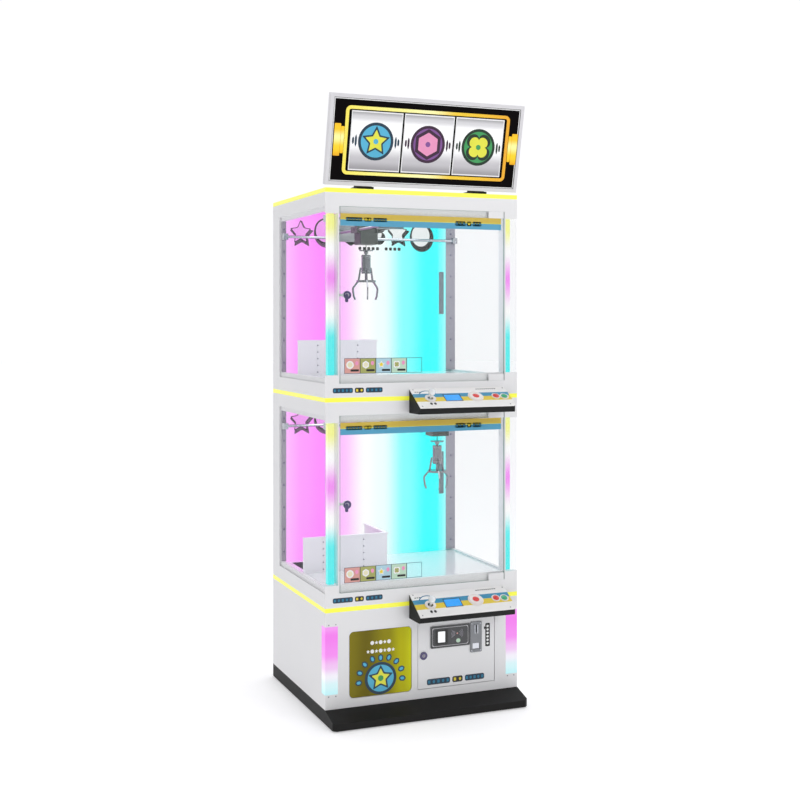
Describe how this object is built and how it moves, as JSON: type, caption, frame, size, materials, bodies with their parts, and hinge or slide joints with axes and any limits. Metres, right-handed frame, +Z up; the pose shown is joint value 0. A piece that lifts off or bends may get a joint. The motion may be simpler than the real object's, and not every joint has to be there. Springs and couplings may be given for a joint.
{
  "type": "double-deck prize crane machine",
  "caption": "Tall arcade cabinet with two glass-fronted claw crane decks, lit corners, control consoles, a prize flap, a coin door and a leaning marquee.",
  "frame": {"origin": "centre of the bounding box's bottom face, on the floor", "axes": "+Z up, -Y towards the player, +X to the player's right"},
  "size_m": [0.8, 0.796, 2.3465],
  "materials": {
    "back_lights": "opal diffuser",
    "base_front": "white powder coat",
    "base_shell": "white laminate",
    "card_reader": "moulded",
    "cash_box": "galvanised sheet",
    "chute_guards": "translucent white",
    "clear_panels": "clear",
    "coin_door": "white powder coat",
    "coin_mech": "brushed",
    "coin_return_flap": "brushed",
    "console_bodies": "black moulded",
    "console_decks": "printed",
    "console_fittings": "moulded",
    "console_screens": "display",
    "corner_lights": "opal diffuser",
    "gantry_rails": "ground",
    "levelling_feet": "moulded",
    "lower_bridge": "plated",
    "lower_claw_arm_1": "polished",
    "lower_claw_arm_2": "polished",
    "lower_claw_arm_3": "polished",
    "lower_claw_head": "polished",
    "lower_door_fittings": "satin",
    "lower_door_glass": "toughened",
    "lower_drop_button": "moulded",
    "lower_frame": "white powder coat",
    "lower_green_button": "moulded",
    "lower_hoist_cord": "braided",
    "lower_joystick": "clear ball",
    "lower_joystick_gimbal": "moulded",
    "lower_red_button": "moulded",
    "lower_trolley": "grey",
    "marquee_brackets": "black",
    "marquee_case": "satin",
    "marquee_face": "printed",
    "playfield_floors": "white laminate",
    "plinth": "black powder coat",
    "power_unit": "plated",
    "prize_chute": "galvanised sheet",
    "prize_flap": "gold tinted",
    "rear_corner_strips": "grey",
    "rear_covers": "white powder coat",
    "rear_door": "white powder coat",
    "trim_strips": "bright yellow",
    "upper_bridge": "plated",
    "upper_claw_arm_1": "polished",
    "upper_claw_arm_2": "polished",
    "upper_claw_arm_3": "polished",
    "upper_claw_head": "polished",
    "upper_door_fittings": "satin",
    "upper_door_glass": "toughened",
    "upper_drop_button": "moulded",
    "upper_frame": "white powder coat",
    "upper_green_button": "moulded",
    "upper_hoist_cord": "braided",
    "upper_joystick": "clear ball",
    "upper_joystick_gimbal": "moulded",
    "upper_red_button": "moulded",
    "upper_trolley": "grey"
  },
  "bodies": {
    "root": {"back_lights": "back_lights", "base_front": "base_front", "base_shell": "base_shell", "cash_box": "cash_box", "chute_guards": "chute_guards", "clear_panels": "clear_panels", "console_bodies": "console_bodies", "console_decks": "console_decks", "console_fittings": "console_fittings", "console_screens": "console_screens", "corner_lights": "corner_lights", "gantry_rails": "gantry_rails", "levelling_feet": "levelling_feet", "lower_frame": "lower_frame", "marquee_brackets": "marquee_brackets", "marquee_case": "marquee_case", "marquee_face": "marquee_face", "playfield_floors": "playfield_floors", "plinth": "plinth", "power_unit": "power_unit", "prize_chute": "prize_chute", "rear_corner_strips": "rear_corner_strips", "rear_covers": "rear_covers", "trim_strips": "trim_strips", "upper_frame": "upper_frame"},
    "prize_flap": {"prize_flap": "prize_flap"},
    "coin_door": {"coin_door": "coin_door", "card_reader": "card_reader", "coin_mech": "coin_mech"},
    "coin_return_flap": {"coin_return_flap": "coin_return_flap"},
    "rear_door": {"rear_door": "rear_door"},
    "lower_door": {"lower_door_glass": "lower_door_glass", "lower_door_fittings": "lower_door_fittings"},
    "lower_bridge": {"lower_bridge": "lower_bridge"},
    "lower_trolley": {"lower_trolley": "lower_trolley", "lower_hoist_cord": "lower_hoist_cord"},
    "lower_claw": {"lower_claw_head": "lower_claw_head"},
    "lower_arm_1": {"lower_claw_arm_1": "lower_claw_arm_1"},
    "lower_arm_2": {"lower_claw_arm_2": "lower_claw_arm_2"},
    "lower_arm_3": {"lower_claw_arm_3": "lower_claw_arm_3"},
    "lower_gimbal": {"lower_joystick_gimbal": "lower_joystick_gimbal"},
    "lower_joystick": {"lower_joystick": "lower_joystick"},
    "lower_drop_button": {"lower_drop_button": "lower_drop_button"},
    "lower_red_button": {"lower_red_button": "lower_red_button"},
    "lower_green_button": {"lower_green_button": "lower_green_button"},
    "upper_door": {"upper_door_glass": "upper_door_glass", "upper_door_fittings": "upper_door_fittings"},
    "upper_bridge": {"upper_bridge": "upper_bridge"},
    "upper_trolley": {"upper_trolley": "upper_trolley", "upper_hoist_cord": "upper_hoist_cord"},
    "upper_claw": {"upper_claw_head": "upper_claw_head"},
    "upper_arm_1": {"upper_claw_arm_1": "upper_claw_arm_1"},
    "upper_arm_2": {"upper_claw_arm_2": "upper_claw_arm_2"},
    "upper_arm_3": {"upper_claw_arm_3": "upper_claw_arm_3"},
    "upper_gimbal": {"upper_joystick_gimbal": "upper_joystick_gimbal"},
    "upper_joystick": {"upper_joystick": "upper_joystick"},
    "upper_drop_button": {"upper_drop_button": "upper_drop_button"},
    "upper_red_button": {"upper_red_button": "upper_red_button"},
    "upper_green_button": {"upper_green_button": "upper_green_button"}
  },
  "joints": [
    {"name": "prize_flap_hinge", "type": "hinge", "parent": "root", "child": "prize_flap", "pos_m": [-0.178, -0.268, 0.342], "axis": [1, 0, 0], "range_deg": [0, 70], "stiffness_Nm_per_rad": 0.5, "springref_deg": -14.32},
    {"name": "coin_door_hinge", "type": "hinge", "parent": "root", "child": "coin_door", "pos_m": [0.2955, -0.281, 0.2185], "axis": [0, 0, 1], "range_deg": [0, 110]},
    {"name": "coin_return_hinge", "type": "hinge", "parent": "coin_door", "child": "coin_return_flap", "pos_m": [0.2195, -0.285, 0.246], "axis": [1, 0, 0], "range_deg": [0, 60], "stiffness_Nm_per_rad": 0.004, "springref_deg": -17.19},
    {"name": "rear_door_hinge", "type": "hinge", "parent": "root", "child": "rear_door", "pos_m": [0.38, 0.392, 0.254], "axis": [0, 0, -1], "range_deg": [0, 105]},
    {"name": "lower_door_hinge", "type": "hinge", "parent": "root", "child": "lower_door", "pos_m": [0.338, -0.2815, 0.8165], "axis": [0, 0, 1], "range_deg": [0, 100]},
    {"name": "lower_bridge_slide", "type": "slide", "parent": "root", "child": "lower_bridge", "axis": [1, 0, 0], "range_m": [-0.515, 0.105]},
    {"name": "lower_trolley_slide", "type": "slide", "parent": "lower_bridge", "child": "lower_trolley", "axis": [0, 1, 0], "range_m": [-0.218, 0.146]},
    {"name": "lower_hoist", "type": "slide", "parent": "lower_trolley", "child": "lower_claw", "axis": [0, 0, -1], "range_m": [-0.02, 0.29], "deforming": ["lower_hoist_cord"]},
    {"name": "lower_arm_1_hinge", "type": "hinge", "parent": "lower_claw", "child": "lower_arm_1", "pos_m": [0.23672, 0.0631, 0.8795], "axis": [-0.2756, 0.9613, 0], "range_deg": [0, 34], "stiffness_Nm_per_rad": 0.4},
    {"name": "lower_arm_2_hinge", "type": "hinge", "parent": "lower_claw", "child": "lower_arm_2", "pos_m": [0.18126, 0.07692, 0.8795], "axis": [-0.6947, -0.7193, 0], "range_deg": [0, 34], "stiffness_Nm_per_rad": 0.4},
    {"name": "lower_arm_3_hinge", "type": "hinge", "parent": "lower_claw", "child": "lower_arm_3", "pos_m": [0.19702, 0.02198, 0.8795], "axis": [0.9703, -0.2419, 0], "range_deg": [0, 34], "stiffness_Nm_per_rad": 0.4},
    {"name": "lower_joystick_tip", "type": "hinge", "parent": "root", "child": "lower_gimbal", "pos_m": [0, -0.33683, 0.41012], "axis": [1, 0, 0], "range_deg": [-12, 12], "stiffness_Nm_per_rad": 0.6},
    {"name": "lower_joystick_side", "type": "hinge", "parent": "lower_gimbal", "child": "lower_joystick", "pos_m": [0, -0.33683, 0.41012], "axis": [0, 0.8582, 0.5134], "range_deg": [-12, 12], "stiffness_Nm_per_rad": 0.6},
    {"name": "lower_drop_press", "type": "slide", "parent": "root", "child": "lower_drop_button", "axis": [0, 0.5134, -0.8582], "range_m": [0, 0.004], "stiffness_N_per_m": 500},
    {"name": "lower_red_press", "type": "slide", "parent": "root", "child": "lower_red_button", "axis": [0, 0.5134, -0.8582], "range_m": [0, 0.004], "stiffness_N_per_m": 500},
    {"name": "lower_green_press", "type": "slide", "parent": "root", "child": "lower_green_button", "axis": [0, 0.5134, -0.8582], "range_m": [0, 0.004], "stiffness_N_per_m": 500},
    {"name": "upper_door_hinge", "type": "hinge", "parent": "root", "child": "upper_door", "pos_m": [0.338, -0.2815, 1.6], "axis": [0, 0, 1], "range_deg": [0, 100]},
    {"name": "upper_bridge_slide", "type": "slide", "parent": "root", "child": "upper_bridge", "axis": [1, 0, 0], "range_m": [-0.196, 0.424]},
    {"name": "upper_trolley_slide", "type": "slide", "parent": "upper_bridge", "child": "upper_trolley", "axis": [0, 1, 0], "range_m": [-0.208, 0.156]},
    {"name": "upper_hoist", "type": "slide", "parent": "upper_trolley", "child": "upper_claw", "axis": [0, 0, -1], "range_m": [-0.02, 0.29], "deforming": ["upper_hoist_cord"]},
    {"name": "upper_arm_1_hinge", "type": "hinge", "parent": "upper_claw", "child": "upper_arm_1", "pos_m": [-0.08228, 0.0531, 1.663], "axis": [-0.2756, 0.9613, 0], "range_deg": [0, 34], "stiffness_Nm_per_rad": 0.4},
    {"name": "upper_arm_2_hinge", "type": "hinge", "parent": "upper_claw", "child": "upper_arm_2", "pos_m": [-0.13774, 0.06692, 1.663], "axis": [-0.6947, -0.7193, 0], "range_deg": [0, 34], "stiffness_Nm_per_rad": 0.4},
    {"name": "upper_arm_3_hinge", "type": "hinge", "parent": "upper_claw", "child": "upper_arm_3", "pos_m": [-0.12198, 0.01198, 1.663], "axis": [0.9703, -0.2419, 0], "range_deg": [0, 34], "stiffness_Nm_per_rad": 0.4},
    {"name": "upper_joystick_tip", "type": "hinge", "parent": "root", "child": "upper_gimbal", "pos_m": [0, -0.33683, 1.19362], "axis": [1, 0, 0], "range_deg": [-12, 12], "stiffness_Nm_per_rad": 0.6},
    {"name": "upper_joystick_side", "type": "hinge", "parent": "upper_gimbal", "child": "upper_joystick", "pos_m": [0, -0.33683, 1.19362], "axis": [0, 0.8582, 0.5134], "range_deg": [-12, 12], "stiffness_Nm_per_rad": 0.6},
    {"name": "upper_drop_press", "type": "slide", "parent": "root", "child": "upper_drop_button", "axis": [0, 0.5134, -0.8582], "range_m": [0, 0.004], "stiffness_N_per_m": 500},
    {"name": "upper_red_press", "type": "slide", "parent": "root", "child": "upper_red_button", "axis": [0, 0.5134, -0.8582], "range_m": [0, 0.004], "stiffness_N_per_m": 500},
    {"name": "upper_green_press", "type": "slide", "parent": "root", "child": "upper_green_button", "axis": [0, 0.5134, -0.8582], "range_m": [0, 0.004], "stiffness_N_per_m": 500}
  ],
  "couplings": [
    {"joint": "lower_arm_2_hinge", "follows": "lower_arm_1_hinge", "ratio": 1},
    {"joint": "lower_arm_3_hinge", "follows": "lower_arm_1_hinge", "ratio": 1},
    {"joint": "upper_arm_2_hinge", "follows": "upper_arm_1_hinge", "ratio": 1},
    {"joint": "upper_arm_3_hinge", "follows": "upper_arm_1_hinge", "ratio": 1}
  ]
}
